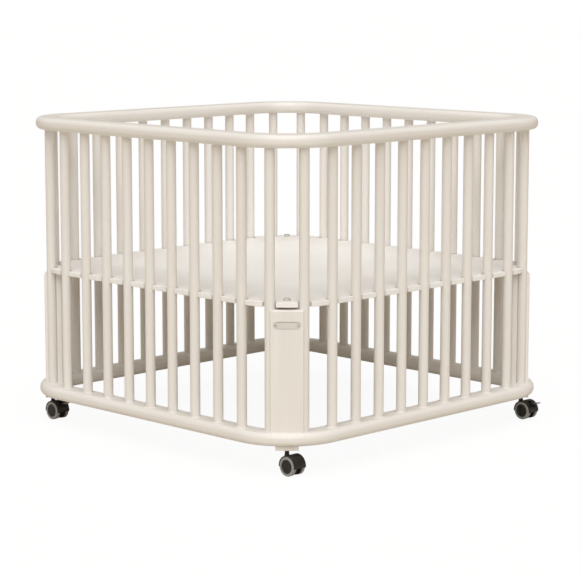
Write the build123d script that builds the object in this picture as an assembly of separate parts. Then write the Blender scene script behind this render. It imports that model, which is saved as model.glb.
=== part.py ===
from build123d import *
import os
from math import cos, degrees, pi, radians, sin, sqrt

# A square wooden playpen with rounded corners, standing on four twin-wheel casters.
# Sizes are in millimetres, the ground is z = 0, and the origin is under the middle of the pen.
# The sides lie along X and Y: front is -Y, right is +X, back is +Y and left is -X.
# Corner pieces are drawn on the +X axis, where +X points outwards along the corner's diagonal
# and Y runs across it, and are then turned to their corner.

# Rings: a top and a bottom ring, each of four rails that meet on the corner diagonals
outer_width = 1000.0
overall_height = 785.0
bottom_ring_underside = 69.0
corner_radius = 130.0  # of the rings' centreline
rail_width = 63.0
rail_thickness = 31.0
rail_edge_radius = 13.5

# Bars
bars_per_side = 11
bar_diameter = 24.0
bar_socket_depth = 16.0
bar_end_gap = 0.5
bar_socket_clearance = 0.1

# Corner posts, which stand on the bottom ring, and the inner plates that carry the floor
post_front_wall = 7.4  # wood in front of the corner bars
post_edge_set_in = 0.4
post_edge_round = 3.0
post_top_gap = 5.0  # between the post and the floor, which rests on the inner plate
clamp_clearance = 0.2  # around the corner bars, in the post and at the inner plate
clamp_gap = 1.6  # between post and inner plate
inner_plate_thickness = 14.0
inner_plate_overlap = 9.6  # past the corner bars' centres
inner_plate_edge_round = 2.0

# Recessed trim plate on each post
recess_length = 64.0
recess_height = 19.0
recess_depth = 3.5
recess_below_top = 35.5
trim_border = 2.6
trim_thickness = 2.0
trim_screw_inset = 6.0
trim_screw_radius = 1.5
trim_screw_length = 7.5
trim_head_radius = 3.3
trim_head_height = 1.3
trim_slot_width = 1.0
trim_edge_chamfer = 0.4

# Floor board
floor_underside = 389.0
floor_thickness = 12.0
floor_overhang = 6.0  # outside the rings' centreline
floor_notch_clearance = 4.5
floor_edge_chamfer = 1.0
floor_head_radius = 9.0
floor_head_height = 6.0
floor_head_round = 4.0
floor_bolt_length = 34.0

# M6 fasteners and the threaded inserts that they run into
bolt_radius = 3.0
bolt_fit = 0.06
bolt_head_radius = 5.0
bolt_head_height = 5.0
bolt_hole_clearance = 0.25
bolt_head_chamfer = 0.6
counterbore_clearance = 0.5
insert_radius = 4.6
insert_length = 15.0
insert_fit = 0.04
insert_set_back = 0.2
hex_radius = 2.8
hex_depth = 2.5
post_bolt_spread = 34.0
post_bolt_reach = 24.0  # into the post's foot
clamp_bolt_heights = (50.0, 230.0)  # above the post's foot
clamp_bolt_reach = 20.0  # into the post's back

# Seam hardware
dowel_radius = 4.0
dowel_length = 40.0
dowel_spread = 32.0
dowel_fit = 0.05
top_dowel_lift = 3.0  # above the top ring's centre
bottom_dowel_lift = 7.0  # above the bottom ring's centre
joint_plate_length = 48.0
joint_plate_width = 26.0
joint_plate_thickness = 3.0
joint_plate_fit = 0.1
joint_plate_corner = 4.0
joint_screw_spread = 28.0
joint_screw_radius = 2.0
joint_screw_length = 15.0
joint_head_radius = 3.8
joint_head_height = 2.0

# Caster blocks, housed in the underside of the bottom ring across its seams
block_length = 54.0
block_width = 32.0
block_drop = 11.0
block_housing_depth = 15.0
block_fit = 0.1
block_edge_round = 1.5
socket_radius = 5.5
socket_length = 24.0
socket_fit = 0.03
stem_socket_clearance = 0.05

# Casters: wheels trail towards +X and their axles lie along Y
wheel_diameter = 46.0
wheel_trail = 17.5
caster_width = 39.6
wheel_width = 13.5
web_gap = 0.3  # between the web and each wheel
hood_clearance = 0.7
hood_wall = 1.7
hood_end_inset = 0.9
hood_lip_drop = 3.0  # below the axle
axle_radius = 2.5
axle_boss_radius = 8.0
axle_end_gap = 0.4
wheel_running_fit = 0.05
tread_thickness = 6.5
hub_flange_step = 0.6  # inside the tread's face
hub_flange_width = 3.7
hub_cap_thickness = 2.0
hub_dish_border = 4.5
hub_dish_depth = 0.9
hub_dish_slope = 1.0
hub_edge_round = 1.0
tread_side_gap = 0.1
tread_inset = 0.6
tread_round = 1.5
stem_radius = 4.0
stem_running_fit = 0.05
stem_end_gap = 2.0
stem_collar_radius = 6.0
stem_collar_height = 1.8
stem_head_radius = 4.9
stem_head_height = 2.6
stem_head_rise = 8.0  # above the axle
stem_head_clearance = 0.2
stem_play = 0.1
neck_radius = 5.2
neck_taper_radius = 7.0
neck_foot_rise = 5.0  # above the axle
neck_taper_drop = 8.4  # below the hood's top
neck_taper_height = 9.0

# Brake levers
brake_pivot_set_in = 4.0  # inside the tread's face
brake_pivot_angle = 55.0
brake_pin_radius = 1.5
brake_pin_fit = 0.05
brake_arm_half = 2.3
brake_arm_clearance = 0.35
brake_boss_radius = 3.2
brake_root_reach = 11.0
brake_root_rise = 3.4
brake_root_radius = 2.0
brake_tip_reach = 28.5
brake_tip_rise = 7.2
brake_pedal_thickness = 2.2
brake_pedal_half = 8.0
brake_shoe_gap = 0.8
brake_shoe_thickness = 2.4
brake_shoe_half = 9.0
brake_shoe_angles = (31.0, 46.0)
brake_slot_angles = (23.0, 66.0)
brake_slot_clearance = 0.7
brake_slot_undercut = 0.6

# Sizes worked out from those above
ring_half = (outer_width - rail_width) / 2
arc_centre = ring_half - corner_radius
arc_centre_radial = arc_centre * sqrt(2)
corner_radial = arc_centre_radial + corner_radius
half_arc = corner_radius * pi / 4
side_length = 2 * (arc_centre + half_arc)
bar_pitch = side_length / bars_per_side
bar_radius = bar_diameter / 2

top_ring_centre = overall_height - rail_thickness / 2
top_ring_underside = overall_height - rail_thickness
bottom_ring_centre = bottom_ring_underside + rail_thickness / 2
bottom_ring_top = bottom_ring_underside + rail_thickness

corner_bar_angle = bar_pitch / 2 / corner_radius
corner_bar_radial = arc_centre_radial + corner_radius * cos(corner_bar_angle)
corner_bar_lateral = corner_radius * sin(corner_bar_angle)

plate_outer = corner_bar_radial - bar_radius - clamp_clearance
plate_inner = plate_outer - inner_plate_thickness
plate_middle = (plate_outer + plate_inner) / 2
plate_half_width = corner_bar_lateral + inner_plate_overlap
post_inner = plate_outer + clamp_gap
post_outer = corner_bar_radial + bar_radius + post_front_wall
post_half_width = corner_bar_lateral - post_edge_set_in
post_top = floor_underside - post_top_gap
recess_level = post_top - recess_below_top
trim_screw_places = (recess_length / 2 - trim_screw_inset, trim_screw_inset - recess_length / 2)

block_underside = bottom_ring_underside - block_drop
block_top = bottom_ring_underside + block_housing_depth

wheel_radius = wheel_diameter / 2
wheel_inner_face = caster_width / 2 - wheel_width
web_half = wheel_inner_face - web_gap
hood_inner_radius = wheel_radius + hood_clearance
hood_outer_radius = hood_inner_radius + hood_wall
hood_half = caster_width / 2 - hood_end_inset
hub_radius = wheel_radius - tread_thickness
hub_flange_radius = wheel_radius - hub_flange_step
hub_dish_radius = hub_radius - hub_dish_border
hub_bore_depth = wheel_width - hub_cap_thickness
axle_half = wheel_inner_face + hub_bore_depth - axle_end_gap
stem_head_level = wheel_radius + stem_head_rise
neck_foot_level = wheel_radius + neck_foot_rise
neck_taper_level = wheel_radius + hood_outer_radius - neck_taper_drop
neck_top = block_underside - stem_collar_height - 2 * stem_play
brake_pivot_radius = wheel_radius - brake_pivot_set_in

SIDES = {"front": 0, "right": 90, "back": 180, "left": 270}
CORNERS = {"front_right": -45, "back_right": 45, "back_left": 135, "front_left": 225}
BRAKED = ("back_right", "front_left")


def solids_of(shapes):
    """One compound of the separate solids in a list of shapes."""
    return Compound(children=[solid for shape in shapes for solid in shape.solids()])


def turned(shape, angle):
    """A shape turned about the upright axis through the origin."""
    return Rot(0, 0, angle) * shape


def at_corners(make):
    """A group with one copy of a corner piece at each corner."""
    return solids_of([turned(make(), angle) for angle in CORNERS.values()])


def rod(radius, z_low, z_high):
    """An upright cylinder on the Z axis between two levels."""
    return Pos(0, 0, (z_low + z_high) / 2) * Cylinder(radius, z_high - z_low)


def block(x_span, y_half, z_span):
    """A box over an X span, a half width either side of y = 0, and a Z span."""
    size = (x_span[1] - x_span[0], 2 * y_half, z_span[1] - z_span[0])
    middle = (sum(x_span) / 2, 0, sum(z_span) / 2)
    return Pos(*middle) * Box(*size)


def bolt(length, head_radius, head_height):
    """A bolt up the Z axis, with the underside of its head at z = 0 and a hexagon socket."""
    head = rod(head_radius, -head_height, 0)
    head = chamfer(head.faces().sort_by(Axis.Z)[0].edges(), bolt_head_chamfer)
    key = extrude(Pos(0, 0, -head_height) * RegularPolygon(hex_radius, 6), hex_depth)
    return head + rod(bolt_radius, 0, length) - key


def insert():
    """A threaded insert down the -Z axis from z = 0, bored right through."""
    sleeve = rod(insert_radius, -insert_length, 0)
    return sleeve - rod(bolt_radius + bolt_fit, -insert_length, 0)


def insert_hole(depth):
    """The hole down the -Z axis that takes an insert and the bolt's end beyond it."""
    seat = rod(insert_radius + insert_fit, -insert_length - 2 * insert_set_back, 1)
    return seat + rod(bolt_radius + bolt_hole_clearance, -depth - 1, 0)


# Bars and rails

def bar_places():
    """Each bar's x, y and outward direction along the front side, equally spaced on the ring."""
    places = []
    for number in range(bars_per_side):
        travel = (number + 0.5) * bar_pitch
        if travel < half_arc:
            direction = 225 + degrees(travel / corner_radius)
            centre = -arc_centre
        elif travel > side_length - half_arc:
            direction = 315 - degrees((side_length - travel) / corner_radius)
            centre = arc_centre
        else:
            places.append((travel - half_arc - arc_centre, -ring_half, 270))
            continue
        x = centre + corner_radius * cos(radians(direction))
        y = -arc_centre + corner_radius * sin(radians(direction))
        places.append((x, y, direction))
    return places


def side_bars():
    """The front side's bars, housed in the sockets of both rails."""
    low = bottom_ring_top - bar_socket_depth + bar_end_gap
    high = top_ring_underside + bar_socket_depth - bar_end_gap
    return solids_of([Pos(x, y, 0) * rod(bar_radius, low, high) for x, y, _ in bar_places()])


def plain_rail(level):
    """One side's rail: a straight run with an eighth of a circle at each end."""
    left = CenterArc((-arc_centre, -arc_centre, level), corner_radius, 225, 45)
    straight = Line((-arc_centre, -ring_half, level), (arc_centre, -ring_half, level))
    right = CenterArc((arc_centre, -arc_centre, level), corner_radius, 270, 45)
    path = Wire([left.edge(), straight.edge(), right.edge()])
    start = Plane(origin=left @ 0, x_dir=(cos(radians(225)), sin(radians(225)), 0), z_dir=left % 0)
    return sweep(start * RectangleRounded(rail_width, rail_thickness, rail_edge_radius), path=path)


def seam_dowels(level):
    """The two dowels across one corner's seam."""
    half = dowel_spread / 2
    across = Rot(90, 0, 0) * Cylinder(dowel_radius, dowel_length)
    return [Pos(corner_radial + offset, 0, level) * across for offset in (-half, half)]


def seam_dowel_holes(level):
    """The drilled holes for the seam dowels, a little larger than they are."""
    half = dowel_spread / 2
    across = Rot(90, 0, 0) * Cylinder(dowel_radius + dowel_fit, dowel_length + 2 * dowel_fit)
    return [Pos(corner_radial + offset, 0, level) * across for offset in (-half, half)]


def side_rail(level, socket_low, corner_cuts):
    """A rail with its bar sockets, and with the cuts that the corner pieces make in both ends."""
    rail = plain_rail(level)
    socket = rod(bar_radius + bar_socket_clearance, socket_low, socket_low + bar_socket_depth)
    rail = rail - [Pos(x, y, 0) * socket for x, y, _ in bar_places()]
    for angle in (CORNERS["front_left"], CORNERS["front_right"]):
        rail = rail - [turned(cut, angle) for cut in corner_cuts]
    return rail


# Corner pieces

def joint_screw_places():
    """Where the joint plate's screws lie, along the plate."""
    return (-joint_screw_spread / 2, joint_screw_spread / 2)


def joint_screw(clearance):
    """A countersunk screw up the Z axis with its head's face at z = 0."""
    cone = Pos(0, 0, joint_head_height / 2) * Cone(
        joint_head_radius + clearance, joint_screw_radius + clearance, joint_head_height
    )
    return cone + rod(joint_screw_radius + clearance, 0, joint_screw_length + clearance)


def joint_plate():
    """The steel plate let into the underside of the top ring across its seam."""
    plate = Box(joint_plate_width, joint_plate_length, joint_plate_thickness)
    plate = fillet(plate.edges().filter_by(Axis.Z), joint_plate_corner)
    middle = top_ring_underside + joint_plate_thickness / 2
    plate = Pos(corner_radial, 0, middle) * plate
    holes = [
        Pos(corner_radial, y, top_ring_underside) * joint_screw(joint_plate_fit)
        for y in joint_screw_places()
    ]
    return plate - holes


def joint_screws():
    """The screws of one joint plate."""
    return solids_of(
        [Pos(corner_radial, y, top_ring_underside) * joint_screw(0) for y in joint_screw_places()]
    )


def joint_plate_cuts():
    """The pocket and the screw holes that a joint plate needs in the top ring."""
    size = (joint_plate_width + 2 * joint_plate_fit, joint_plate_length + 2 * joint_plate_fit)
    pocket = Box(*size, 2 * joint_plate_thickness + 2 * joint_plate_fit)
    pocket = fillet(pocket.edges().filter_by(Axis.Z), joint_plate_corner)
    cuts = [Pos(corner_radial, 0, top_ring_underside) * pocket]
    hole = rod(joint_screw_radius + dowel_fit, 0, joint_screw_length + 1)
    return cuts + [Pos(corner_radial, y, top_ring_underside) * hole for y in joint_screw_places()]


def post_bolt_places():
    """Where the bolts that hold the post down lie across the corner."""
    return (-post_bolt_spread / 2, post_bolt_spread / 2)


def post_bolt_seat():
    """Level of the underside of a post bolt's head, inside its counterbore."""
    return block_underside + bolt_head_height + counterbore_clearance


def post_bolts():
    """The bolts that run up through block and ring into one post."""
    length = bottom_ring_top + post_bolt_reach - post_bolt_seat()
    one = bolt(length, bolt_head_radius, bolt_head_height)
    return solids_of([Pos(corner_radial, y, post_bolt_seat()) * one for y in post_bolt_places()])


def bottom_ring_cuts():
    """The block's housing and the bolt holes in the bottom ring."""
    housing = block(
        (corner_radial - block_width / 2 - block_fit, corner_radial + block_width / 2 + block_fit),
        block_length / 2 + block_fit,
        (bottom_ring_underside - 1, block_top + block_fit),
    )
    hole = rod(bolt_radius + bolt_hole_clearance, bottom_ring_underside, bottom_ring_top + 1)
    return [housing] + [Pos(corner_radial, y, 0) * hole for y in post_bolt_places()]


def caster_block():
    """The wooden block that takes one caster and keys the bottom ring's seam."""
    body = block(
        (corner_radial - block_width / 2, corner_radial + block_width / 2),
        block_length / 2,
        (block_underside, block_top),
    )
    body = fillet(body.edges().filter_by(Axis.Z), block_edge_round)
    body = body - Pos(corner_radial, 0, 0) * rod(
        socket_radius + socket_fit, block_underside - 1, block_underside + socket_length
    )
    hole = rod(bolt_radius + bolt_hole_clearance, block_underside, block_top + 1)
    counterbore = rod(bolt_head_radius + counterbore_clearance, block_underside - 1, post_bolt_seat())
    return body - [Pos(corner_radial, y, 0) * (hole + counterbore) for y in post_bolt_places()]


def caster_socket():
    """The steel sleeve in the block, closed at its top."""
    sleeve = rod(socket_radius, block_underside, block_underside + socket_length)
    bore_top = block_underside + socket_length - stem_end_gap / 2
    sleeve = sleeve - rod(stem_radius + stem_socket_clearance, block_underside - 1, bore_top)
    return Pos(corner_radial, 0, 0) * sleeve


def clamp_bolt_levels():
    """Levels of the bolts that pull the inner plate against the corner bars."""
    return [bottom_ring_top + height for height in clamp_bolt_heights]


def clamp_bolts():
    """The bolts from one inner plate into its post."""
    length = post_inner + clamp_bolt_reach - plate_inner
    one = Rot(0, 90, 0) * bolt(length, bolt_head_radius, bolt_head_height)
    return solids_of([Pos(plate_inner, 0, level) * one for level in clamp_bolt_levels()])


def inner_plate():
    """The plate behind the corner bars, with the floor bolt's insert in its top end."""
    plate = block(
        (plate_inner, plate_outer), plate_half_width, (bottom_ring_top, floor_underside)
    )
    plate = fillet(plate.edges().filter_by(Axis.Z), inner_plate_edge_round)
    hole = Rot(0, 90, 0) * Cylinder(bolt_radius + bolt_hole_clearance, 3 * inner_plate_thickness)
    plate = plate - [Pos(plate_middle, 0, level) * hole for level in clamp_bolt_levels()]
    return plate - Pos(plate_middle, 0, floor_underside) * insert_hole(floor_bolt_length)


def corner_post():
    """The board between a corner's two bars: its edges are grooved to grip them."""
    post = block((post_inner, post_outer), post_half_width, (bottom_ring_top, post_top))
    front_edges = post.faces().sort_by(Axis.X)[-1].edges().sort_by(Axis.Z)[1:]
    post = fillet(front_edges, post_edge_round)
    groove = rod(bar_radius + clamp_clearance, bottom_ring_top - 1, post_top + 1)
    post = post - [
        Pos(corner_bar_radial, side * corner_bar_lateral, 0) * groove for side in (-1, 1)
    ]
    face = Plane(origin=(post_outer, 0, recess_level), x_dir=(0, 1, 0), z_dir=(1, 0, 0))
    post = post - extrude(face * SlotOverall(recess_length, recess_height), -recess_depth)
    trim_depth = recess_depth - trim_thickness + trim_screw_length
    for y in trim_screw_places:
        post = post - extrude(face * Pos(y, 0) * Circle(trim_screw_radius + dowel_fit), -trim_depth)
    upward = Pos(corner_radial, 0, bottom_ring_top) * Rot(180, 0, 0) * insert_hole(post_bolt_reach)
    post = post - [Pos(0, y, 0) * upward for y in post_bolt_places()]
    outward = Rot(0, -90, 0) * insert_hole(clamp_bolt_reach)
    return post - [Pos(post_inner, 0, level) * outward for level in clamp_bolt_levels()]


def corner_inserts():
    """The threaded inserts of one corner: two up the post's foot, two in its back, one on top."""
    upward = Rot(180, 0, 0) * insert()
    outward = Rot(0, -90, 0) * insert()
    foot = bottom_ring_top + insert_set_back
    back = post_inner + insert_set_back
    in_foot = [Pos(corner_radial, y, foot) * upward for y in post_bolt_places()]
    in_back = [Pos(back, 0, level) * outward for level in clamp_bolt_levels()]
    on_top = Pos(plate_middle, 0, floor_underside - insert_set_back) * insert()
    return solids_of(in_foot + in_back + [on_top])


def trim_face():
    """The plane of the recess's bottom, facing outwards."""
    origin = (post_outer - recess_depth, 0, recess_level)
    return Plane(origin=origin, x_dir=(0, 1, 0), z_dir=(1, 0, 0))


def trim_plate():
    """The blank metal plate in the post's recess."""
    length = recess_length - 2 * trim_border
    height = recess_height - 2 * trim_border
    plate = extrude(trim_face() * SlotOverall(length, height), trim_thickness)
    plate = chamfer(plate.faces().sort_by(Axis.X)[-1].edges(), trim_edge_chamfer)
    holes = [trim_face() * Pos(y, 0) * Circle(trim_screw_radius + dowel_fit) for y in trim_screw_places]
    return plate - [extrude(hole, trim_thickness) for hole in holes]


def trim_screws():
    """The two screws of one trim plate."""
    screws = []
    for y in trim_screw_places:
        head = Pos(0, 0, trim_thickness) * Circle(trim_head_radius)
        head = extrude(head, trim_head_height)
        head = fillet(head.faces().sort_by(Axis.Z)[-1].edges(), trim_head_height / 2)
        shank = rod(trim_screw_radius, trim_thickness - trim_screw_length, trim_thickness)
        slot = Pos(0, 0, trim_thickness + trim_head_height) * Box(
            trim_slot_width, 2 * trim_head_radius, trim_slot_width
        )
        screws.append(trim_face().location * Pos(y, 0, 0) * (head + shank - slot))
    return solids_of(screws)


# Floor

def floor_board():
    """The loose floor: a rounded square with a notch round every bar."""
    width = 2 * (ring_half + floor_overhang)
    outline = RectangleRounded(width, width, corner_radius + floor_overhang)
    notch_radius = bar_radius + floor_notch_clearance
    mouth = Pos(notch_radius, 0) * Rectangle(2 * notch_radius, 2 * notch_radius)
    notch = Circle(notch_radius) + mouth
    notches = []
    for side in SIDES.values():
        for x, y, direction in bar_places():
            notches.append(Rot(0, 0, side) * Pos(x, y) * Rot(0, 0, direction) * notch)
    board = extrude(Pos(0, 0, floor_underside) * (outline - notches), floor_thickness)
    rims = board.faces().filter_by(Axis.Z)
    board = chamfer(rims.edges(), floor_edge_chamfer)
    floor_top = floor_underside + floor_thickness
    hole = rod(bolt_radius + bolt_hole_clearance, floor_underside - 1, floor_top + 1)
    return board - [turned(Pos(plate_middle, 0, 0) * hole, angle) for angle in CORNERS.values()]


def floor_bolt():
    """A low round-headed bolt that holds the floor down at one corner."""
    head = rod(floor_head_radius, 0, floor_head_height)
    head = fillet(head.faces().sort_by(Axis.Z)[-1].edges(), floor_head_round)
    key = extrude(Pos(0, 0, floor_head_height - hex_depth) * RegularPolygon(hex_radius, 6), hex_depth)
    shank = rod(bolt_radius, -floor_bolt_length, 0)
    return Pos(plate_middle, 0, floor_underside + floor_thickness) * (head + shank - key)


# Casters, drawn with the stem on the Z axis

def sideways(outward, shape):
    """A wheel piece drawn up +Z, laid along Y on the axle so that it points to -Y or +Y."""
    return Pos(wheel_trail, outward * wheel_inner_face, wheel_radius) * Rot(-90 * outward, 0, 0) * shape


def wheel_hub(outward):
    """One wheel: a hub with an inner flange and a blind bore, closed on its outer face."""
    hub = rod(hub_radius, 0, wheel_width)
    hub = fillet(hub.faces().sort_by(Axis.Z)[-1].edges(), hub_edge_round)
    hub = hub + rod(hub_flange_radius, 0, hub_flange_width)
    dish = Pos(0, 0, wheel_width - hub_dish_depth / 2) * Cone(
        hub_dish_radius - hub_dish_slope, hub_dish_radius, hub_dish_depth
    )
    return sideways(outward, hub - dish - rod(axle_radius + wheel_running_fit, -1, hub_bore_depth))


def wheel_tread(outward):
    """The soft ring round one wheel."""
    low = hub_flange_width + tread_side_gap
    ring = rod(wheel_radius, low, wheel_width - tread_inset)
    ring = fillet(ring.edges().filter_by(GeomType.CIRCLE), tread_round)
    return sideways(outward, ring - rod(hub_radius + dowel_fit, 0, wheel_width))


def wheel_axle():
    """The axle, fixed in the housing's web."""
    return Pos(wheel_trail, 0, wheel_radius) * Rot(90, 0, 0) * Cylinder(axle_radius, 2 * axle_half)


def wedge(inner, outer, angles, half):
    """A ring segment round the axle between two angles above +X, over a half width."""
    ring = Circle(outer) - Circle(inner)
    far = 2 * outer
    low, high = (radians(angle) for angle in angles)
    sector = Polygon(
        (0, 0), (far * cos(low), far * sin(low)), (far * cos(high), far * sin(high)), align=None
    )
    flat = Plane.XZ * Pos(wheel_trail, wheel_radius) * (ring & sector)
    return extrude(flat, half, both=True)


def brake_pivot():
    """X and Z of the brake lever's pivot."""
    angle = radians(brake_pivot_angle)
    x = wheel_trail + brake_pivot_radius * cos(angle)
    return (x, wheel_radius + brake_pivot_radius * sin(angle))


def capsule(start, end, start_radius, end_radius, half):
    """Two discs in the XZ plane and the bar between them, over a half width."""
    run = Vector(end[0] - start[0], end[1] - start[1])
    side = Vector(-run.Y, run.X).normalized()
    points = [
        (start[0] + side.X * start_radius, start[1] + side.Y * start_radius),
        (end[0] + side.X * end_radius, end[1] + side.Y * end_radius),
        (end[0] - side.X * end_radius, end[1] - side.Y * end_radius),
        (start[0] - side.X * start_radius, start[1] - side.Y * start_radius),
    ]
    flat = Pos(*start) * Circle(start_radius) + Pos(*end) * Circle(end_radius)
    flat = flat + Polygon(*points, align=None)
    return extrude(Plane.XZ * flat, half, both=True)


def brake_lever():
    """The lever: a pedal and a shoe on an arm that snaps into the web on two trunnions."""
    pivot = brake_pivot()
    root = (pivot[0] + brake_root_reach, pivot[1] + brake_root_rise)
    tip = (pivot[0] + brake_tip_reach, pivot[1] + brake_tip_rise)
    thickness = brake_pedal_thickness / 2
    arm = capsule(pivot, root, brake_boss_radius, brake_root_radius, brake_arm_half)
    pedal = capsule(root, tip, thickness, thickness, brake_pedal_half)
    shoe_inner = wheel_radius + brake_shoe_gap
    shoe_outer = shoe_inner + brake_shoe_thickness
    shoe = wedge(shoe_inner, shoe_outer, brake_shoe_angles, brake_shoe_half)
    pin = Pos(pivot[0], 0, pivot[1]) * Rot(90, 0, 0) * Cylinder(brake_pin_radius, 2 * web_half)
    return arm + pedal + shoe + pin


def brake_room():
    """What the brake lever needs cut out of the housing."""
    pivot = brake_pivot()
    inner = wheel_radius - brake_slot_undercut
    outer = hood_outer_radius + 1
    shoe_room = wedge(inner, outer, brake_slot_angles, brake_shoe_half + brake_slot_clearance)
    reach = brake_boss_radius + brake_slot_clearance
    arm_room = block(
        (pivot[0] - reach, wheel_trail + outer),
        brake_arm_half + brake_arm_clearance,
        (pivot[1] - reach, wheel_radius + outer),
    )
    pin_hole = Rot(90, 0, 0) * Cylinder(brake_pin_radius + brake_pin_fit, 2 * web_half + 1)
    return [shoe_room, arm_room, Pos(pivot[0], 0, pivot[1]) * pin_hole]


def caster_housing(braked):
    """The hood over both wheels, the web between them and the neck that turns on the stem."""
    above = Pos(0, hood_outer_radius - hood_lip_drop) * Rectangle(
        3 * hood_outer_radius, 2 * hood_outer_radius
    )
    hood = extrude(
        Plane.XZ * Pos(wheel_trail, wheel_radius) * (Circle(hood_outer_radius) & above),
        hood_half,
        both=True,
    )
    neck = rod(neck_radius, neck_foot_level, neck_top)
    neck = neck + Pos(0, 0, neck_taper_level + neck_taper_height / 2) * Cone(
        neck_taper_radius, neck_radius, neck_taper_height
    )
    pocket = Rot(90, 0, 0) * Cylinder(hood_inner_radius, caster_width / 2)
    middle = web_half + caster_width / 4
    pockets = [Pos(wheel_trail, side * middle, wheel_radius) * pocket for side in (-1, 1)]
    boss = Pos(wheel_trail, 0, wheel_radius) * Rot(90, 0, 0) * Cylinder(axle_boss_radius, 2 * web_half)
    bore = rod(stem_radius + stem_running_fit, 0, neck_top + 1)
    bore = bore + rod(stem_head_radius + stem_head_clearance, 0, stem_head_level)
    axle_hole = Rot(90, 0, 0) * Cylinder(axle_radius + socket_fit, caster_width)
    cuts = [bore, Pos(wheel_trail, 0, wheel_radius) * axle_hole]
    housing = hood + neck - pockets + boss - cuts
    if braked:
        housing = housing - brake_room()
    return housing


def caster_stem():
    """The steel stem, fixed in its socket: a collar bears on the neck and a head holds it up."""
    top = block_underside + socket_length - stem_end_gap
    head_top = stem_head_level - stem_play
    stem = rod(stem_radius, head_top - stem_head_height, top)
    collar_top = block_underside - stem_play
    stem = stem + rod(stem_collar_radius, collar_top - stem_collar_height, collar_top)
    return stem + rod(stem_head_radius, head_top - stem_head_height, head_top)


def stem_centre(angle):
    """X and Y of a corner's caster stem."""
    return (corner_radial * cos(radians(angle)), corner_radial * sin(radians(angle)))


def build():
    """Every node's name and shape."""
    nodes = {}
    top_cuts = seam_dowel_holes(top_ring_centre + top_dowel_lift) + joint_plate_cuts()
    bottom_cuts = seam_dowel_holes(bottom_ring_centre + bottom_dowel_lift) + bottom_ring_cuts()
    top_rail = side_rail(top_ring_centre, top_ring_underside, top_cuts)
    bottom_rail = side_rail(bottom_ring_centre, bottom_ring_top - bar_socket_depth, bottom_cuts)
    bars = side_bars()
    for side, angle in SIDES.items():
        nodes[f"top_rail_{side}"] = turned(top_rail, angle)
        nodes[f"bottom_rail_{side}"] = turned(bottom_rail, angle)
        nodes[f"{side}_bars"] = turned(bars, angle)

    post = corner_post()
    plate = inner_plate()
    for corner, angle in CORNERS.items():
        nodes[f"corner_post_{corner}"] = turned(post, angle)
        nodes[f"inner_plate_{corner}"] = turned(plate, angle)

    dowel_levels = (top_ring_centre + top_dowel_lift, bottom_ring_centre + bottom_dowel_lift)
    nodes["seam_dowels"] = at_corners(
        lambda: solids_of([dowel for level in dowel_levels for dowel in seam_dowels(level)])
    )
    nodes["top_joint_plates"] = at_corners(joint_plate)
    nodes["joint_plate_screws"] = at_corners(joint_screws)
    nodes["trim_plates"] = at_corners(trim_plate)
    nodes["trim_plate_screws"] = at_corners(trim_screws)
    nodes["caster_blocks"] = at_corners(caster_block)
    nodes["caster_sockets"] = at_corners(caster_socket)
    nodes["post_bolts"] = at_corners(post_bolts)
    nodes["clamp_bolts"] = at_corners(clamp_bolts)
    nodes["threaded_inserts"] = at_corners(corner_inserts)
    nodes["floor_board"] = floor_board()
    nodes["floor_bolts"] = at_corners(floor_bolt)

    stems = []
    for corner, angle in CORNERS.items():
        place = Pos(*stem_centre(angle), 0)
        stems.append(place * caster_stem())
        nodes[f"{corner}_caster_housing"] = place * caster_housing(corner in BRAKED)
        nodes[f"{corner}_caster_axle"] = place * wheel_axle()
        for label, outward in (("a", -1), ("b", 1)):
            nodes[f"{corner}_wheel_{label}"] = place * wheel_hub(outward)
            nodes[f"{corner}_tread_{label}"] = place * wheel_tread(outward)
        if corner in BRAKED:
            nodes[f"{corner}_brake_lever"] = place * brake_lever()
    nodes["caster_stems"] = solids_of(stems)
    return nodes


os.makedirs("parts", exist_ok=True)
for name, shape in build().items():
    export_step(shape, f"parts/{name}.step")
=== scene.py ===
import math

import bmesh
import bpy
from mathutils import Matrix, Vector


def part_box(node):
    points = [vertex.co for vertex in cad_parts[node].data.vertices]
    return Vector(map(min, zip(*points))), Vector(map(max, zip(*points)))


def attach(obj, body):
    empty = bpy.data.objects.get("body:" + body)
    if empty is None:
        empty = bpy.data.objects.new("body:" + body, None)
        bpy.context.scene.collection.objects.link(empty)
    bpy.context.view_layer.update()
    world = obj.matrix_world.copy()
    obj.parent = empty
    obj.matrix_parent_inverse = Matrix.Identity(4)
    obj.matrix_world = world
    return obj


# A square wooden playpen on casters. The CAD frame gives every shape and place, in metres, with
# the ground at z = 0. This script gives its pieces their finishes and small moulded details, and
# sets up the floor, the light and the camera.

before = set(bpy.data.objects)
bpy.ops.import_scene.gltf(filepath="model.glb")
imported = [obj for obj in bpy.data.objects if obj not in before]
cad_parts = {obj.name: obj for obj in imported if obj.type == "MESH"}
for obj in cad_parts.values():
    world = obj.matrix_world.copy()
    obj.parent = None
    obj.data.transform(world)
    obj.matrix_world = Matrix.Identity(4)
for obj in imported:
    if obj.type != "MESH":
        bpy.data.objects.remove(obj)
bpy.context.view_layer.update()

SIDES = ("front", "right", "back", "left")
BRAKED = ("back_right", "front_left")

# Fillet of paint round each bar where it enters a ring
BAR_RADIUS = 0.012
BEAD_RADIUS = 0.0014
BEAD_SINK = 0.0003
BEAD_SEGMENTS = 40
BEAD_STEPS = 5

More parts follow.
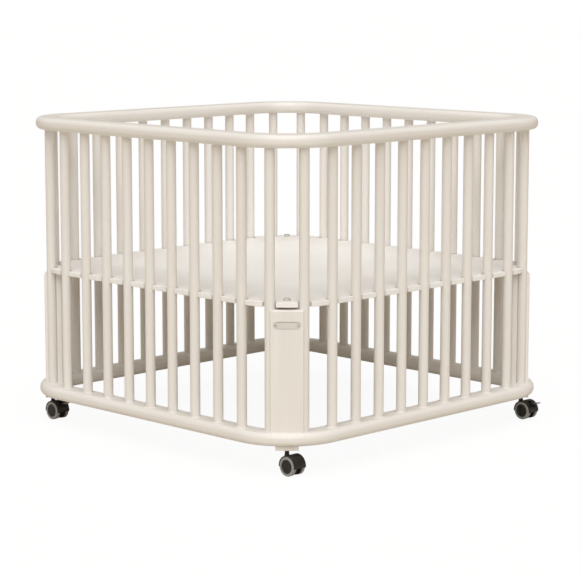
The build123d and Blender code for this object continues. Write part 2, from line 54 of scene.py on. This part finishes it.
# Soft grip on each brake pedal's tip. The run is the pedal's direction in the CAD.
PEDAL_HALF_THICKNESS = 0.0011
PEDAL_RUN = (0.0175, 0.0038)  # along X and Z, from root to tip
GRIP_LENGTH = 0.0095
GRIP_SKIN = 0.0005
GRIP_HALF_WIDTH = 0.0074
GRIP_FULL_SHARE = 0.93  # of the half width, out to where the grip tapers
GRIP_END_SIZE = 0.82  # of the full section, at the grip's two sides
GRIP_RIBS = 4
RIB_PITCH = 0.0021
RIB_RADIUS = 0.0006
RIB_HALF_WIDTH = 0.0062
RIB_FULL_SHARE = 0.9
RIB_END_SIZE = 0.4
ROUND_STEPS = 12  # round the grip's tip, and round a rib

# Camera
CAMERA_AZIMUTH = math.radians(45)
CAMERA_DISTANCE = 5.15  # from the object's upright axis
CAMERA_HEIGHT = 1.13
CAMERA_LENS = 125.2
CAMERA_AIM_HEIGHT = 0.411
CAMERA_SHIFT_X = 0.0052
CAMERA_SHIFT_Y = -0.05
CAMERA_SENSOR = 36  # its width in millimetres

# Studio floor. The camera sees its glow, with this much more where the lights reach it.
STUDIO_RADIUS = 60
STUDIO_EDGES = 96
STUDIO_GLOW = 0.93
STUDIO_SHADOW_DEPTH = 0.07

# Light: the room as the camera sees it, and the warmer, weaker light that it gives the object
ROOM_SEEN = (1, 1, 1, 1)
ROOM_SEEN_STRENGTH = 1.0
ROOM_LIGHT = (1, 0.93, 0.80, 1)
ROOM_LIGHT_STRENGTH = 0.34
SUNS = (  # name, azimuth, elevation and spread in degrees, and strength
    ("overhead", 45, 82, 45, 1.1),
    ("front", 42, 48, 45, 1.1),
    ("low_front", 46, 28, 24, 0.5),
)


# Materials

def linear(red, green, blue):
    """A display colour from 0 to 255 as linear light."""
    values = []
    for value in (red, green, blue):
        value = value / 255
        values.append(value / 12.92 if value <= 0.04045 else ((value + 0.055) / 1.055) ** 2.4)
    return (*values, 1)


PAINT_LIGHT = linear(237, 234, 231)
PAINT_DEEP = linear(231, 226, 221)
PAINT_WARM = linear(235, 229, 222)
PAINT_PORE = linear(206, 190, 170)
FLOOR_LIGHT = linear(247, 245, 243)
FLOOR_WARM = linear(243, 240, 237)
NYLON_DARK = linear(20, 19, 18)
NYLON_LIGHT = linear(31, 29, 28)
TREAD_DARK = linear(140, 140, 138)
TREAD_LIGHT = linear(162, 162, 159)
TREAD_SCUFF = linear(120, 118, 115)
TRIM_DARK = linear(214, 212, 207)
TRIM_LIGHT = linear(232, 231, 227)
BEECH_DARK = linear(196, 158, 118)
BEECH_LIGHT = linear(216, 182, 142)
BEECH_FLECK = linear(150, 108, 74)
ZINC_COOL = linear(178, 180, 184)
ZINC_WARM = linear(206, 205, 198)
STEEL_DARK = linear(74, 70, 68)
STEEL_LIGHT = linear(104, 99, 95)
NICKEL_DARK = linear(190, 186, 179)
NICKEL_LIGHT = linear(208, 205, 198)
STUDIO_DARK = linear(216, 209, 197)
STUDIO_LIGHT = linear(219, 212, 201)

# The band that most noise values lie in, and a narrower one for stronger contrast
NOISE_SPAN = (0.3, 0.7)
CLOUD_SPAN = (0.35, 0.65)


class Nodes:
    """A small helper that builds one material's node tree."""

    def __init__(self, name):
        self.material = bpy.data.materials.new(name)
        self.material.use_nodes = True
        self.tree = self.material.node_tree
        self.shader = self.tree.nodes["Principled BSDF"]
        self.coordinates = self.add("ShaderNodeTexCoord").outputs["Object"]

    def add(self, kind, **settings):
        """A new node, with its own settings."""
        node = self.tree.nodes.new(kind)
        for key, value in settings.items():
            setattr(node, key, value)
        return node

    def link(self, source, target):
        self.tree.links.new(source, target)

    def scaled(self, scale):
        """Object coordinates, times a scale for each axis."""
        mapping = self.add("ShaderNodeMapping")
        mapping.inputs["Scale"].default_value = scale
        self.link(self.coordinates, mapping.inputs["Vector"])
        return mapping.outputs["Vector"]

    def noise(self, scale, detail=3.0, roughness=0.5, distortion=0.0):
        """Noise from 0 to 1, stretched by a scale for each axis."""
        node = self.add("ShaderNodeTexNoise")
        node.inputs["Scale"].default_value = 1.0  # the mapping sets the size
        node.inputs["Detail"].default_value = detail
        node.inputs["Roughness"].default_value = roughness
        node.inputs["Distortion"].default_value = distortion
        self.link(self.scaled(scale), node.inputs["Vector"])
        return node.outputs["Fac"]

    def remap(self, source, low, high, to_low, to_high):
        """A value's range moved to another range, and held inside it."""
        node = self.add("ShaderNodeMapRange")
        node.inputs["From Min"].default_value = low
        node.inputs["From Max"].default_value = high
        node.inputs["To Min"].default_value = to_low
        node.inputs["To Max"].default_value = to_high
        self.link(source, node.inputs["Value"])
        return node.outputs["Result"]

    def mix(self, factor, first, second):
        """Two colours mixed by a factor. Either may be a colour or a socket."""
        node = self.add("ShaderNodeMix", data_type="RGBA", blend_type="MIX")
        sockets = [s for s in node.inputs if s.enabled]
        for socket, value in zip(sockets, (factor, first, second)):
            if isinstance(value, bpy.types.NodeSocket):
                self.link(value, socket)
            else:
                socket.default_value = value
        return [s for s in node.outputs if s.enabled][0]

    def math(self, operation, first, second):
        """Two values put through an operation. Either may be a number or a socket."""
        node = self.add("ShaderNodeMath", operation=operation)
        for socket, value in zip(node.inputs, (first, second)):
            if isinstance(value, bpy.types.NodeSocket):
                self.link(value, socket)
            else:
                socket.default_value = value
        return node.outputs["Value"]

    def bump(self, height, strength, distance, under=None):
        """A bump on the surface, on top of another one if given."""
        node = self.add("ShaderNodeBump")
        node.inputs["Strength"].default_value = strength
        node.inputs["Distance"].default_value = distance
        self.link(height, node.inputs["Height"])
        if under is not None:
            self.link(under, node.inputs["Normal"])
        return node.outputs["Normal"]

    def finish(self, colour, roughness, normal, **fixed):
        """Connects the shader and sets its unvarying sockets."""
        self.link(colour, self.shader.inputs["Base Color"])
        self.link(roughness, self.shader.inputs["Roughness"])
        self.link(normal, self.shader.inputs["Normal"])
        for key, value in fixed.items():
            self.shader.inputs[key.replace("_", " ")].default_value = value
        return self.material


def along(axis, across_scale, along_scale):
    """A scale for each axis that stretches a pattern along one of them."""
    return tuple(along_scale if name == axis else across_scale for name in "XYZ")


def painted_beech(axis):
    """Satin cream paint over beech: the fine grain and short pores still show along one axis."""
    nodes = Nodes(f"painted_beech_{axis.lower()}")
    figure = nodes.noise(along(axis, 38, 2.2), detail=4, roughness=0.55, distortion=0.6)
    pores = nodes.noise(along(axis, 1500, 90), detail=2, roughness=0.6)
    cloud = nodes.noise((5, 5, 5), detail=2)
    island = nodes.add("ShaderNodeNewGeometry").outputs["Random Per Island"]

    body = nodes.mix(nodes.remap(figure, *NOISE_SPAN, 0, 1), PAINT_DEEP, PAINT_LIGHT)
    body = nodes.mix(nodes.remap(cloud, *CLOUD_SPAN, 0, 0.35), body, PAINT_WARM)
    body = nodes.mix(nodes.remap(island, 0, 1, 0, 0.22), body, PAINT_DEEP)
    pits = nodes.remap(pores, 0.60, 0.72, 0, 0.10)
    body = nodes.mix(pits, body, PAINT_PORE)

    rough = nodes.remap(figure, *NOISE_SPAN, 0.40, 0.50)
    rough = nodes.math("ADD", rough, nodes.remap(pores, 0.55, 0.75, 0, 0.10))
    normal = nodes.bump(figure, 0.12, 0.0004)
    normal = nodes.bump(nodes.remap(pores, 0.55, 0.75, 1, 0), 0.22, 0.00012, normal)
    return nodes.finish(body, rough, normal, Coat_Weight=0.12, Coat_Roughness=0.28)


def floor_paint():
    """The floor board's whiter roller-applied paint, with a fine orange-peel surface."""
    nodes = Nodes("floor_paint")
    peel = nodes.noise((420, 420, 420), detail=3, roughness=0.6)
    cloud = nodes.noise((3, 3, 3), detail=3)
    speck = nodes.noise((1900, 1900, 1900), detail=1)
    body = nodes.mix(nodes.remap(cloud, *CLOUD_SPAN, 0, 1), FLOOR_LIGHT, FLOOR_WARM)
    body = nodes.mix(nodes.remap(speck, 0.62, 0.74, 0, 0.12), body, PAINT_PORE)
    rough = nodes.remap(peel, *NOISE_SPAN, 0.44, 0.56)
    normal = nodes.bump(peel, 0.16, 0.00025)
    return nodes.finish(body, rough, normal, Coat_Weight=0.08, Coat_Roughness=0.35)


def bare_beech():
    """Unpainted beech for the dowels."""
    nodes = Nodes("bare_beech")
    figure = nodes.noise((700, 700, 700), detail=5, distortion=0.8)
    flecks = nodes.noise((2600, 2600, 900), detail=2)
    body = nodes.mix(nodes.remap(figure, *NOISE_SPAN, 0, 1), BEECH_DARK, BEECH_LIGHT)
    body = nodes.mix(nodes.remap(flecks, 0.6, 0.75, 0, 0.5), body, BEECH_FLECK)
    rough = nodes.remap(figure, *NOISE_SPAN, 0.5, 0.65)
    return nodes.finish(body, rough, nodes.bump(flecks, 0.2, 0.0001))


def moulded_nylon():
    """Black nylon with a fine moulded grain and the dull bloom of handling."""
    nodes = Nodes("black_nylon")
    grain = nodes.noise((2400, 2400, 2400), detail=2, roughness=0.55)
    bloom = nodes.noise((60, 60, 60), detail=3)
    body = nodes.mix(nodes.remap(bloom, *CLOUD_SPAN, 0, 1), NYLON_DARK, NYLON_LIGHT)
    rough = nodes.remap(grain, *NOISE_SPAN, 0.36, 0.48)
    rough = nodes.math("ADD", rough, nodes.remap(bloom, *CLOUD_SPAN, 0, 0.08))
    return nodes.finish(body, rough, nodes.bump(grain, 0.25, 0.00008))


def soft_tread():
    """Light-grey soft tread with a matte skin and faint scuffs."""
    nodes = Nodes("grey_tread")
    grain = nodes.noise((1800, 1800, 1800), detail=2)
    scuff = nodes.noise((160, 900, 160), detail=4, distortion=0.5)
    body = nodes.mix(nodes.remap(grain, *NOISE_SPAN, 0, 1), TREAD_DARK, TREAD_LIGHT)
    body = nodes.mix(nodes.remap(scuff, 0.58, 0.75, 0, 0.35), body, TREAD_SCUFF)
    rough = nodes.remap(grain, *NOISE_SPAN, 0.58, 0.72)
    return nodes.finish(body, rough, nodes.bump(grain, 0.3, 0.0001))


def zinc_steel():
    """Bright zinc plate with turned marks and a faint blotchy tone."""
    nodes = Nodes("zinc_steel")
    turned = nodes.noise((900, 900, 5200), detail=3)
    blotch = nodes.noise((110, 110, 110), detail=3)
    body = nodes.mix(nodes.remap(blotch, *CLOUD_SPAN, 0, 1), ZINC_COOL, ZINC_WARM)
    rough = nodes.remap(turned, *NOISE_SPAN, 0.26, 0.42)
    return nodes.finish(body, rough, nodes.bump(turned, 0.12, 0.00005), Metallic=1.0)


def dark_steel():
    """Dark coated steel for the caster stems."""
    nodes = Nodes("dark_steel")
    coat = nodes.noise((1400, 1400, 1400), detail=3)
    blotch = nodes.noise((140, 140, 140), detail=2)
    body = nodes.mix(nodes.remap(blotch, *CLOUD_SPAN, 0, 1), STEEL_DARK, STEEL_LIGHT)
    rough = nodes.remap(coat, *NOISE_SPAN, 0.34, 0.5)
    return nodes.finish(body, rough, nodes.bump(coat, 0.2, 0.00006), Metallic=0.6)


def satin_nickel():
    """Pale satin plating for the fasteners that show: the floor bolts and the trim screws."""
    nodes = Nodes("satin_nickel")
    turned = nodes.noise((1100, 1100, 4200), detail=3)
    blotch = nodes.noise((150, 150, 150), detail=2)
    body = nodes.mix(nodes.remap(blotch, *CLOUD_SPAN, 0, 1), NICKEL_DARK, NICKEL_LIGHT)
    rough = nodes.remap(turned, *NOISE_SPAN, 0.32, 0.46)
    return nodes.finish(body, rough, nodes.bump(turned, 0.12, 0.00005), Metallic=0.3)


def brushed_trim():
    """The recessed plates' pale grey satin finish, with level brush marks."""
    nodes = Nodes("grey_trim")
    brushed = nodes.noise((260, 260, 5200), detail=3, roughness=0.65)
    cloud = nodes.noise((40, 40, 40), detail=2)
    body = nodes.mix(nodes.remap(brushed, *NOISE_SPAN, 0, 1), TRIM_DARK, TRIM_LIGHT)
    body = nodes.mix(nodes.remap(cloud, *CLOUD_SPAN, 0, 0.2), body, TRIM_DARK)
    rough = nodes.remap(brushed, *NOISE_SPAN, 0.34, 0.5)
    return nodes.finish(body, rough, nodes.bump(brushed, 0.15, 0.00005), Metallic=0.25)


FINISHES = {
    "paint_x": painted_beech("X"),
    "paint_y": painted_beech("Y"),
    "paint_z": painted_beech("Z"),
    "floor": floor_paint(),
    "beech": bare_beech(),
    "nylon": moulded_nylon(),
    "tread": soft_tread(),
    "zinc": zinc_steel(),
    "dark": dark_steel(),
    "nickel": satin_nickel(),
    "trim": brushed_trim(),
}


def finish_of(node):
    """The finish that a CAD node gets, from its name."""
    if node.startswith(("top_rail", "bottom_rail")):
        return "paint_x" if node.endswith(("front", "back")) else "paint_y"
    rules = (
        ("floor_board", "floor"),
        ("seam_dowels", "beech"),
        ("trim_plates", "trim"),
        ("floor_bolts", "nickel"),
        ("trim_plate_screws", "nickel"),
        ("caster_stems", "dark"),
        ("housing", "nylon"),
        ("_wheel_", "nylon"),
        ("brake_lever", "nylon"),
        ("_tread_", "tread"),
        ("axle", "zinc"),
        ("sockets", "zinc"),
        ("screws", "zinc"),
        ("bolts", "zinc"),
        ("inserts", "zinc"),
        ("joint_plates", "zinc"),
    )
    for part, finish in rules:
        if part in node:
            return finish
    return "paint_z"


for name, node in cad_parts.items():
    node.data.materials.clear()
    node.data.materials.append(FINISHES[finish_of(name)])


# Small details

def new_piece(name, build, finish, body):
    """A finished piece from a bmesh, which rides on a CAD body."""
    bmesh.ops.recalc_face_normals(build, faces=build.faces[:])
    mesh = bpy.data.meshes.new(name)
    build.to_mesh(mesh)
    build.free()
    for polygon in mesh.polygons:
        polygon.use_smooth = True
    piece = bpy.data.objects.new(name, mesh)
    bpy.context.collection.objects.link(piece)
    piece.data.materials.append(FINISHES[finish])
    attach(piece, body)


def joined_loops(build, loops, closed):
    """Faces between loops of the same number of points, closed into a ring or capped at the ends."""
    rows = [[build.verts.new(point) for point in loop] for loop in loops]
    pairs = list(zip(rows, rows[1:]))
    if closed:
        pairs.append((rows[-1], rows[0]))
    else:
        build.faces.new(rows[0])
        build.faces.new(rows[-1])
    for first, second in pairs:
        for index in range(len(first)):
            after = (index + 1) % len(first)
            build.faces.new((first[index], first[after], second[after], second[index]))


def bar_centres(side):
    """X and Y of each bar on one side, in order, from the tall shells of the CAD node's mesh."""
    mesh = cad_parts[f"{side}_bars"].data
    low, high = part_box(f"{side}_bars")
    root = list(range(len(mesh.vertices)))

    def find(index):
        while root[index] != index:
            root[index] = root[root[index]]
            index = root[index]
        return index

    for edge in mesh.edges:
        first, second = edge.vertices
        root[find(first)] = find(second)
    shells = {}
    for vertex in mesh.vertices:
        shells.setdefault(find(vertex.index), []).append(vertex.co)
    centres = []
    for points in shells.values():
        heights = [point.z for point in points]
        if max(heights) - min(heights) > (high.z - low.z) / 2:
            xs = [point.x for point in points]
            ys = [point.y for point in points]
            centres.append(((min(xs) + max(xs)) / 2, (min(ys) + max(ys)) / 2))
    along_x = side in ("front", "back")
    return sorted(centres, key=lambda centre: centre[0] if along_x else centre[1])


def paint_bead(build, centre, level, upward):
    """A concave fillet of paint round one bar, on a ring's face at a level."""
    profile = [(BAR_RADIUS - BEAD_SINK, -BEAD_SINK), (BAR_RADIUS + BEAD_RADIUS, -BEAD_SINK)]
    for step in range(BEAD_STEPS + 1):
        angle = math.radians(-90 - 90 * step / BEAD_STEPS)
        radius = BAR_RADIUS + BEAD_RADIUS + BEAD_RADIUS * math.cos(angle)
        profile.append((radius, BEAD_RADIUS + BEAD_RADIUS * math.sin(angle)))
    profile.append((BAR_RADIUS - BEAD_SINK, BEAD_RADIUS))
    loops = []
    for segment in range(BEAD_SEGMENTS):
        turn = 2 * math.pi * segment / BEAD_SEGMENTS
        loops.append([
            (
                centre[0] + radius * math.cos(turn),
                centre[1] + radius * math.sin(turn),
                level + upward * height,
            )
            for radius, height in profile
        ])
    joined_loops(build, loops, True)


def paint_beads(side):
    """The paint round one side's bars. The corner posts cover the corner bars' feet."""
    build = bmesh.new()
    foot_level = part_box(f"bottom_rail_{side}")[1].z
    head_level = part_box(f"top_rail_{side}")[0].z
    centres = bar_centres(side)
    for centre in centres:
        paint_bead(build, centre, head_level, -1)
    for centre in centres[1:-1]:
        paint_bead(build, centre, foot_level, 1)
    new_piece(f"paint_beads_{side}", build, "paint_z", "frame")


def tapered(full_share, end_size):
    """Places across a width from -1 to 1, each with the size there, which drops at both ends."""
    return ((-1, end_size), (-full_share, 1), (full_share, 1), (1, end_size))


def pedal_grip(corner):
    """The soft grip on a pedal's tip: a thin sleeve with ribs across its top."""
    low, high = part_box(f"{corner}_brake_lever")
    middle = (low.y + high.y) / 2
    tip = Vector((high.x - PEDAL_HALF_THICKNESS, middle, high.z - PEDAL_HALF_THICKNESS))
    run = Vector((PEDAL_RUN[0], 0, PEDAL_RUN[1])).normalized()
    up = Vector((-run.z, 0, run.x))
    build = bmesh.new()

    radius = PEDAL_HALF_THICKNESS + GRIP_SKIN
    outline = []
    for step in range(ROUND_STEPS + 1):
        angle = math.radians(90 - 180 * step / ROUND_STEPS)
        outline.append((radius * math.cos(angle), radius * math.sin(angle)))
    outline += [(-GRIP_LENGTH, -radius), (-GRIP_LENGTH, radius)]
    loops = []
    for share, size in tapered(GRIP_FULL_SHARE, GRIP_END_SIZE):
        place = tip + Vector((0, share * GRIP_HALF_WIDTH, 0))
        loops.append([place + run * x * size + up * z * size for x, z in outline])
    joined_loops(build, loops, False)

    for rib in range(GRIP_RIBS):
        centre = tip - run * RIB_PITCH * (rib + 0.5) + up * radius
        loops = []
        for share, size in tapered(RIB_FULL_SHARE, RIB_END_SIZE):
            place = centre + Vector((0, share * RIB_HALF_WIDTH, 0))
            loops.append([
                place + (run * math.cos(turn) + up * math.sin(turn)) * RIB_RADIUS * size
                for turn in (2 * math.pi * step / ROUND_STEPS for step in range(ROUND_STEPS))
            ])
        joined_loops(build, loops, False)
    new_piece(f"{corner}_pedal_grip", build, "tread", f"{corner}_brake")


for side in SIDES:
    paint_beads(side)
for corner in BRAKED:
    pedal_grip(corner)


# Floor, light and camera

def lift_floor(nodes):
    """Shows the camera a near-white floor with faint shadows. Other rays meet its own paint."""
    seen = nodes.add("ShaderNodeEmission")
    seen.inputs["Strength"].default_value = STUDIO_GLOW
    weak = nodes.add("ShaderNodeBsdfDiffuse")
    weak.inputs["Color"].default_value = (*[STUDIO_SHADOW_DEPTH] * 3, 1)
    glow = nodes.add("ShaderNodeAddShader")
    nodes.link(seen.outputs["Emission"], glow.inputs[0])
    nodes.link(weak.outputs["BSDF"], glow.inputs[1])
    path = nodes.add("ShaderNodeLightPath")
    mix = nodes.add("ShaderNodeMixShader")
    nodes.link(path.outputs["Is Camera Ray"], mix.inputs["Fac"])
    nodes.link(nodes.shader.outputs["BSDF"], mix.inputs[1])
    nodes.link(glow.outputs["Shader"], mix.inputs[2])
    nodes.link(mix.outputs["Shader"], nodes.tree.nodes["Material Output"].inputs["Surface"])


def studio_floor():
    """A wide plain pale floor."""
    bpy.ops.mesh.primitive_circle_add(
        vertices=STUDIO_EDGES,
        radius=STUDIO_RADIUS,
        fill_type="NGON",
        location=(0, 0, 0),
    )
    floor = bpy.context.object
    floor.name = "studio_floor"
    nodes = Nodes("studio_floor")
    cloud = nodes.noise((1.5, 1.5, 1.5), detail=2)
    body = nodes.mix(nodes.remap(cloud, *NOISE_SPAN, 0, 1), STUDIO_DARK, STUDIO_LIGHT)
    nodes.finish(body, nodes.remap(cloud, *NOISE_SPAN, 0.85, 0.9), nodes.bump(cloud, 0.01, 0.0001))
    nodes.shader.inputs["Specular IOR Level"].default_value = 0.1
    lift_floor(nodes)
    floor.data.materials.append(nodes.material)


def soft_sun(name, azimuth, elevation, spread, strength):
    """A soft light from far away, at an azimuth measured like the camera's."""
    light = bpy.data.lights.new(name, "SUN")
    light.energy = strength
    light.angle = math.radians(spread)
    lamp = bpy.data.objects.new(name, light)
    bpy.context.collection.objects.link(lamp)
    azimuth, elevation = math.radians(azimuth), math.radians(elevation)
    towards = Vector((
        math.sin(azimuth) * math.cos(elevation),
        -math.cos(azimuth) * math.cos(elevation),
        math.sin(elevation),
    ))
    lamp.rotation_euler = towards.to_track_quat("Z", "Y").to_euler()


def studio_light():
    """A white room that lights gently, with soft light from above and from the front."""
    world = bpy.data.worlds.new("studio")
    bpy.context.scene.world = world
    world.use_nodes = True
    tree = world.node_tree
    tree.nodes.clear()
    output = tree.nodes.new("ShaderNodeOutputWorld")
    seen = tree.nodes.new("ShaderNodeBackground")
    seen.inputs["Strength"].default_value = ROOM_SEEN_STRENGTH
    seen.inputs["Color"].default_value = ROOM_SEEN
    lit = tree.nodes.new("ShaderNodeBackground")
    lit.inputs["Strength"].default_value = ROOM_LIGHT_STRENGTH
    lit.inputs["Color"].default_value = ROOM_LIGHT
    path = tree.nodes.new("ShaderNodeLightPath")
    mix = tree.nodes.new("ShaderNodeMixShader")
    tree.links.new(path.outputs["Is Camera Ray"], mix.inputs["Fac"])
    tree.links.new(lit.outputs["Background"], mix.inputs[1])
    tree.links.new(seen.outputs["Background"], mix.inputs[2])
    tree.links.new(mix.outputs["Shader"], output.inputs["Surface"])
    for sun in SUNS:
        soft_sun(*sun)


def studio_camera():
    """The camera, aimed a little down at the pen's upright axis, with no sideways tilt."""
    camera = bpy.data.objects.new("camera", bpy.data.cameras.new("camera"))
    bpy.context.collection.objects.link(camera)
    camera.location = (
        CAMERA_DISTANCE * math.sin(CAMERA_AZIMUTH),
        -CAMERA_DISTANCE * math.cos(CAMERA_AZIMUTH),
        CAMERA_HEIGHT,
    )
    aim = Vector((0, 0, CAMERA_AIM_HEIGHT)) - camera.location
    camera.rotation_euler = aim.to_track_quat("-Z", "Y").to_euler()
    camera.data.sensor_width = CAMERA_SENSOR
    camera.data.lens = CAMERA_LENS
    camera.data.shift_x = CAMERA_SHIFT_X
    camera.data.shift_y = CAMERA_SHIFT_Y
    bpy.context.scene.camera = camera


studio_floor()
studio_light()
studio_camera()
bpy.context.scene.view_settings.view_transform = "Standard"
bpy.context.scene.view_settings.look = "None"
